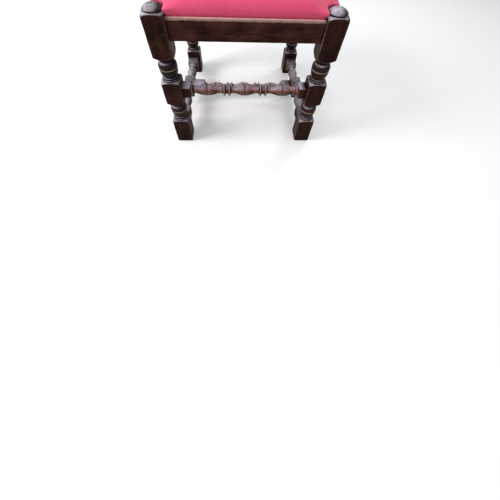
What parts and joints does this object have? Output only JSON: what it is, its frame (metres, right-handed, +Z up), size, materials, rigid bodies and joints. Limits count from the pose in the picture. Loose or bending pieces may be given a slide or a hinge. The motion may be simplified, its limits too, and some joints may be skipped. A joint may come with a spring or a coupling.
{
  "type": "upholstered stool",
  "caption": "Joined oak stool with square-to-round turned legs, button finials, turned stretchers and an upholstered drop-in seat that lifts out from between the posts.",
  "frame": {"origin": "on the floor, under the middle of the seat", "axes": "+Z up, +X to the right of a person facing the front, -Y towards the front with the high stretcher that the picture shows"},
  "size_m": [0.4392, 0.4232, 0.4466],
  "materials": {
    "dark_oak": "stained and waxed, worn pale on the arrises",
    "oak_peg": "stained and waxed end grain",
    "beech": "bare planed wood",
    "jute_webbing": "coarse woven jute",
    "hessian": "open woven hessian",
    "stuffing_fibre": "matted fibre",
    "red_fabric": "matte rose-red upholstery cloth"
  },
  "bodies": {
    "frame": {"leg_front_left": "dark_oak", "leg_front_right": "dark_oak", "leg_rear_left": "dark_oak", "leg_rear_right": "dark_oak", "peg_low_front_left": "oak_peg", "peg_low_front_right": "oak_peg", "peg_low_rear_left": "oak_peg", "peg_low_rear_right": "oak_peg", "peg_medial_left": "oak_peg", "peg_medial_right": "oak_peg", "peg_rail_front_front_left": "oak_peg", "peg_rail_front_front_right": "oak_peg", "peg_rail_left_front_left": "oak_peg", "peg_rail_left_rear_left": "oak_peg", "peg_rail_rear_rear_left": "oak_peg", "peg_rail_rear_rear_right": "oak_peg", "peg_rail_right_front_right": "oak_peg", "peg_rail_right_rear_right": "oak_peg", "peg_stretcher_front_left": "oak_peg", "peg_stretcher_front_right": "oak_peg", "peg_stretcher_rear_left": "oak_peg", "peg_stretcher_rear_right": "oak_peg", "rail_front": "dark_oak", "rail_left": "dark_oak", "rail_rear": "dark_oak", "rail_right": "dark_oak", "stretcher_front": "dark_oak", "stretcher_left": "dark_oak", "stretcher_medial": "dark_oak", "stretcher_rear": "dark_oak", "stretcher_right": "dark_oak"},
    "drop_in_seat": {"hessian": "hessian", "seat_cover": "red_fabric", "seat_frame_front": "beech", "seat_frame_left": "beech", "seat_frame_rear": "beech", "seat_frame_right": "beech", "stuffing": "stuffing_fibre", "web_along_first": "jute_webbing", "web_along_last": "jute_webbing", "web_along_middle": "jute_webbing", "web_cross_first": "jute_webbing", "web_cross_last": "jute_webbing", "web_cross_middle": "jute_webbing"}
  },
  "joints": [
    {"name": "seat_lift", "type": "slide", "parent": "frame", "child": "drop_in_seat", "axis": [0, 0, 1], "range_m": [0, 0.06]}
  ]
}
